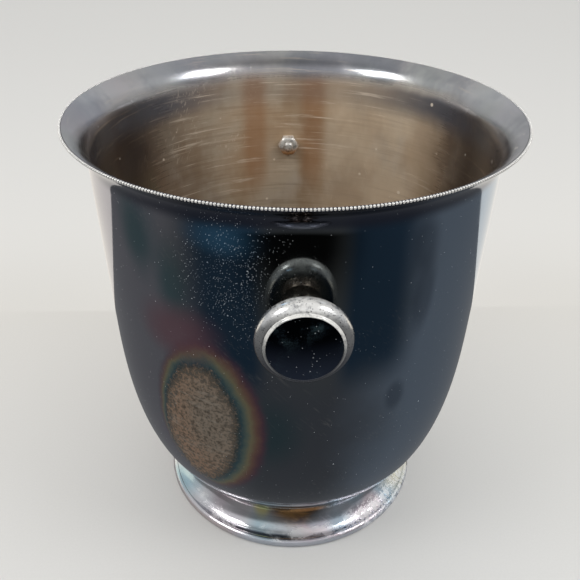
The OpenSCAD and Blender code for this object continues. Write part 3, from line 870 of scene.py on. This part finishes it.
def make_knob(back):
    """One knob handle, from its collar on the wall to its nut inside, front or back."""
    side = "back" if back else "front"
    title = side.capitalize()

    bulge = COLLAR_T / 2
    collar_face = WALL_R + COLLAR_T
    outline = [Vector((BORE_R, WALL_R - COLLAR_SINK)), Vector((COLLAR_R - bulge, WALL_R - COLLAR_SINK))]
    outline += arc((COLLAR_R - bulge, WALL_R + bulge), bulge, -90, 62, 14)
    outline += arc((STEP_R - 0.25 * MM, collar_face + STEP_T - STEP_EDGE_R), STEP_EDGE_R, 0, 100, 4)
    outline += [Vector((STEP_FLOOR_R, collar_face)), Vector((BORE_R, collar_face))]
    collar = spun(f"{title} Knob Collar", outline, around=KNOB_FACETS, ring=True)
    on_wall(collar, back)
    # the collar's back follows the round wall
    low, high = KNOB_Z - 30 * MM, KNOB_Z + 20 * MM
    wall = spun("Wall Cutter", [Vector((0, low)), Vector((wall_r(low), low)),
                                Vector((wall_r(high), high)), Vector((0, high))], around=BOWL_FACETS)
    cut(collar, wall)
    finish_piece(collar, "knob_plate", [COLLAR_PAINTED_SHADE_SILVER], f"{side}_knob_collar")

    hold = (HEAD_BACK - collar_face) / 3
    waist = WAIST_R - NECK_INSET
    neck_curve = [Vector((NECK_START_R, collar_face)), Vector((waist, collar_face + hold)),
                  Vector((waist, HEAD_BACK - hold)), Vector(((WAIST_R + HEAD_CORE_R) / 2, HEAD_BACK))]
    outline = [Vector((STUD_R, collar_face))] + bezier_run(neck_curve, 20) + [Vector((STUD_R, HEAD_BACK))]
    neck = spun(f"{title} Knob Neck", outline, around=KNOB_FACETS, ring=True)
    on_wall(neck, back)
    finish_piece(neck, "knob_plate", [COLLAR_PAINTED_SHADE_SILVER], f"{side}_knob_neck")

    outline = [Vector((STUD_R, HEAD_BACK)), Vector((HEAD_CORE_R - 0.5 * MM, HEAD_BACK))]
    outline += arc((HEAD_CORE_R, HEAD_MID), KNOB_EDGE_R, -90, 72, 18)
    outline += [Vector((FACE_R, BEZEL_SEAT)), Vector((FACE_R, FACE_BACK)), Vector((STUD_R, FACE_BACK))]
    head = spun(f"{title} Knob Head", outline, around=HEAD_FACETS, ring=True)
    on_wall(head, back)
    finish_piece(head, "knob_plate", [KNOB_SILVER], f"{side}_knob_head")

    high_r = BEZEL_BEAD_R * 0.8
    outline = [Vector((FACE_R, BEZEL_FLOOR))] + arc(BEZEL_LOW_BEAD, BEZEL_BEAD_R, -50, 50, 6)
    outline += arc((BEZEL_LOW_BEAD[0] - BEZEL_STEP_IN, BEZEL_TOP - high_r), high_r, 10, 120, 6)
    outline += [Vector((FACE_R, BEZEL_INNER))]
    bezel = spun(f"{title} Knob Bezel", outline, around=HEAD_FACETS, ring=True, sharp=60)
    on_wall(bezel, back)
    finish_piece(bezel, "bright_plate", [BEZEL_SILVER], f"{side}_knob_bezel")

    dome_r = (FACE_R**2 + FACE_DOME**2) / (2 * FACE_DOME)
    edge_turn = math.asin(FACE_R / dome_r)
    outline = [Vector((0, FACE_BACK)), Vector((FACE_R, FACE_BACK))]
    outline += [Vector((0, FACE_TOP - dome_r)) + dome_r * along(edge_turn * i / 8) for i in range(8, -1, -1)]
    face = spun(f"{title} Knob Face", outline, around=KNOB_FACETS)
    on_wall(face, back)
    finish_piece(face, "tarnished_plate", [FACE_MIRROR], f"{side}_knob_face")

    stud_in, stud_out = STUD_LO[1], STUD_HI[1]
    outline = [Vector((0, stud_in)), Vector((STUD_R * 0.45, stud_in)),
               Vector((STUD_R * 0.72, stud_in + 0.25 * MM))]
    threads = int((NUT_LO[1] - stud_in) / THREAD) + 2
    for i in range(threads):
        z = stud_in + (0.5 + i) * THREAD
        outline += [Vector((STUD_R * 0.86, z)), Vector((STUD_R, z + THREAD / 2))]
    outline += [Vector((STUD_R, stud_out)), Vector((0, stud_out))]
    stud = spun(f"{title} Knob Stud", outline, around=32, sharp=50)
    on_wall(stud, back)
    finish_piece(stud, "fastener", [NUT_METAL], f"{side}_knob_stud")

    nut_t = NUT_HI[1] - NUT_LO[1]
    corner = (NUT_HI[0] - NUT_LO[0]) / 2
    put_down()
    bpy.ops.mesh.primitive_cylinder_add(vertices=6, radius=corner, depth=nut_t,
                                        location=(0, 0, (NUT_LO[1] + NUT_HI[1]) / 2),
                                        rotation=(0, 0, math.radians(30)))
    nut = named(f"{title} Knob Nut")
    settle(nut)
    turns = [math.radians(90) * i / 8 for i in range(9)]
    outline = [Vector((STUD_R, NUT_LO[1]))]
    outline += [Vector((corner - NUT_DOME * (1 - math.sin(a)), NUT_LO[1] + NUT_DOME_H * (1 - math.cos(a))))
                for a in turns]
    outline += [Vector((corner * 1.02, NUT_HI[1] + MM)), Vector((STUD_R, NUT_HI[1] + MM))]
    crown = spun("Nut Crown", outline, around=64, ring=True)
    cut(nut, crown, "INTERSECT")
    soften = nut.modifiers.new("soften", "BEVEL")
    soften.width = NUT_SOFTENING
    soften.segments = 2
    soften.limit_method = "ANGLE"
    soften.angle_limit = math.radians(30)
    apply_modifiers(nut)
    bpy.ops.object.shade_smooth_by_angle(angle=math.radians(35))
    on_wall(nut, back)
    finish_piece(nut, "fastener", [NUT_METAL], f"{side}_knob_nut")


def make_solder():
    """A hand-run fillet in the corner between the bowl and the foot, a little lumpy."""
    corner_r = FOOT_TOP_R - FOOT_SHEET
    low = bezier_run(FOOT_NECK_CURVE, 14, -FOOT_SHEET - 0.05 * MM)[:5]
    reach = corner_r - SOLDER_LEG
    outline = [Vector((reach, bowl_z_at(reach) - 0.1 * MM)),
               Vector((corner_r - 0.3 * MM, bowl_z_at(corner_r) - 0.3 * MM))]
    outline += [p for p in low if p.y < bowl_z_at(corner_r) - 0.5 * MM]
    outline.append(Vector((reach + SOLDER_LEG * 0.45, bowl_z_at(reach) - SOLDER_LEG * 0.30)))
    solder = spun("Foot Solder", outline, around=160, ring=True, sharp=60)
    finish_piece(solder, "solder", [SOLDER], "foot_solder")


make_bowl()
make_rim()
make_foot()
make_edge_ring()
make_collar_bead()
make_solder()
for at_back in (False, True):
    make_knob(at_back)
put_down()


# ---------------------------------------------------------------- studio
def make_floor_paint():
    """A pale floor; in the plate's reflections it is a painted glow, much darker, with a painted shadow
    darkest in an oval in front of the bucket.
    """
    m = bpy.data.materials.new("Pale Floor")
    m.use_nodes = True
    m.node_tree.nodes.clear()
    s = Shader(m.node_tree)
    here = s.node("ShaderNodeTexCoord", out=3)
    weave = s.noise(here, 900.0, detail=2.0)
    seen = s.node("ShaderNodeBsdfPrincipled", {
        "Base Color": s.mix(weave, (0.64, 0.64, 0.63, 1), (0.68, 0.68, 0.67, 1)), "Roughness": 0.9})
    # painted shadow: the floor's glow in reflections is darkest in an oval in front of the bucket
    ahead, half_wide, half_deep = 0.43, 0.26, 0.18
    placed = s.stretch(here, scale=(1 / half_wide, 1 / half_deep, 0), move=(0, ahead / half_deep, 0))
    off_oval = s.node("ShaderNodeVectorMath", {0: placed}, out=1, operation="LENGTH")
    shade = s.between(off_oval, 0.45, 1.15, 0.006, 0.165)
    painted_mirror_glow = s.node("ShaderNodeEmission", {"Color": (0.95, 0.97, 1.0, 1), "Strength": shade})
    glossy = s.node("ShaderNodeLightPath", out=3)
    floor = s.node("ShaderNodeMixShader", {0: glossy, 1: seen, 2: painted_mirror_glow})
    s.node("ShaderNodeOutputMaterial", {"Surface": floor})
    return m


def make_floor():
    put_down()
    bpy.ops.mesh.primitive_plane_add(size=8, location=(0, 0, 0))
    floor = named("Studio Floor")
    floor.data.materials.append(make_floor_paint())


def make_card():
    """A white card close behind the bucket: the plate mirrors it at its sides, the camera doesn't see it."""
    put_down()
    width, height, behind = 1.6, 0.21, 0.150
    bpy.ops.mesh.primitive_plane_add(size=1, location=(0, behind, height / 2),
                                     rotation=(math.radians(90), 0, 0))
    card = named("White Card")
    card.scale = (width, height, 1)
    settle(card)
    m = bpy.data.materials.new("White Card")
    m.use_nodes = True
    m.node_tree.nodes.clear()
    s = Shader(m.node_tree)
    s.node("ShaderNodeOutputMaterial",
           {"Surface": s.node("ShaderNodeEmission", {"Color": (1.0, 0.95, 0.87, 1), "Strength": 0.95})})
    card.data.materials.append(m)
    card.visible_camera = False
    card.visible_shadow = False


def make_light(name, place, size, power, colour=(1, 1, 1), aim=(0, 0, 0.12)):
    light = bpy.data.lights.new(name, "AREA")
    light.shape = "RECTANGLE"
    light.size, light.size_y = size
    light.energy = power
    light.color = colour
    lamp = bpy.data.objects.new(name, light)
    bpy.context.scene.collection.objects.link(lamp)
    lamp.location = place
    lamp.rotation_euler = (Vector(aim) - Vector(place)).to_track_quat("-Z", "Y").to_euler()


def make_world():
    """Even white on matt surfaces; in the plate, dark in front and light behind."""
    world = bpy.data.worlds.new("Studio")
    bpy.context.scene.world = world
    world.use_nodes = True
    world.node_tree.nodes.clear()
    s = Shader(world.node_tree)
    way = s.node("ShaderNodeTexCoord", out=0)
    ahead = s.axis(way, 1)
    up = s.axis(way, 2)
    behind = s.between(ahead, -0.75, 0.15, 0.15, 0.50)
    high = s.times(s.between(up, 0.20, 0.46, 0.0, 0.56), s.between(up, 0.62, 0.90, 1.0, 0.46))
    room = s.node("ShaderNodeBackground", {"Color": (0.94, 0.96, 1.0, 1),
                                           "Strength": s.math("MAXIMUM", behind, high)})
    soft = s.node("ShaderNodeBackground", {"Color": (1.0, 0.99, 0.97, 1), "Strength": 1.0})
    seen = s.node("ShaderNodeBackground", {"Color": (0.80, 0.79, 0.77, 1), "Strength": 0.95})
    path = s.node("ShaderNodeLightPath", out=0)
    matt = s.node("ShaderNodeLightPath", out=2)
    lit = s.node("ShaderNodeMixShader", {0: matt, 1: room, 2: soft})
    s.node("ShaderNodeOutputWorld", {"Surface": s.node("ShaderNodeMixShader", {0: path, 1: lit, 2: seen})})


def make_camera():
    """The camera, from its place, its heading and its tilt."""
    distance, height = 0.30027, 0.30730
    bearing = math.radians(-2.4)
    heading = math.radians(0.259) + bearing
    pitch = math.radians(32.754)
    roll = math.radians(-0.622)
    turn = Matrix.Rotation(heading, 3, "Z")
    ahead = turn @ Vector((0, math.cos(pitch), -math.sin(pitch)))
    right = turn @ Vector((1, 0, 0))
    up = right.cross(ahead)
    right, up = (math.cos(roll) * right - math.sin(roll) * up, math.sin(roll) * right + math.cos(roll) * up)
    camera = bpy.data.objects.new("Camera", bpy.data.cameras.new("Camera"))
    bpy.context.scene.collection.objects.link(camera)
    camera.location = (distance * math.sin(bearing), -distance * math.cos(bearing), height)
    camera.rotation_euler = Matrix((right, up, -ahead)).transposed().to_euler()
    camera.data.sensor_width = 36.0
    camera.data.lens = 43.45
    camera.data.clip_start = 0.01
    camera.data.clip_end = 50
    bpy.context.scene.camera = camera


make_floor()
make_card()
make_light("Left Soft Box", (-0.74, -0.36, 0.92), (0.42, 0.30), 2.6)
make_light("Right Soft Box", (0.74, -0.36, 0.92), (0.42, 0.30), 2.6)
make_world()
make_camera()
bpy.context.scene.view_settings.view_transform = "Standard"
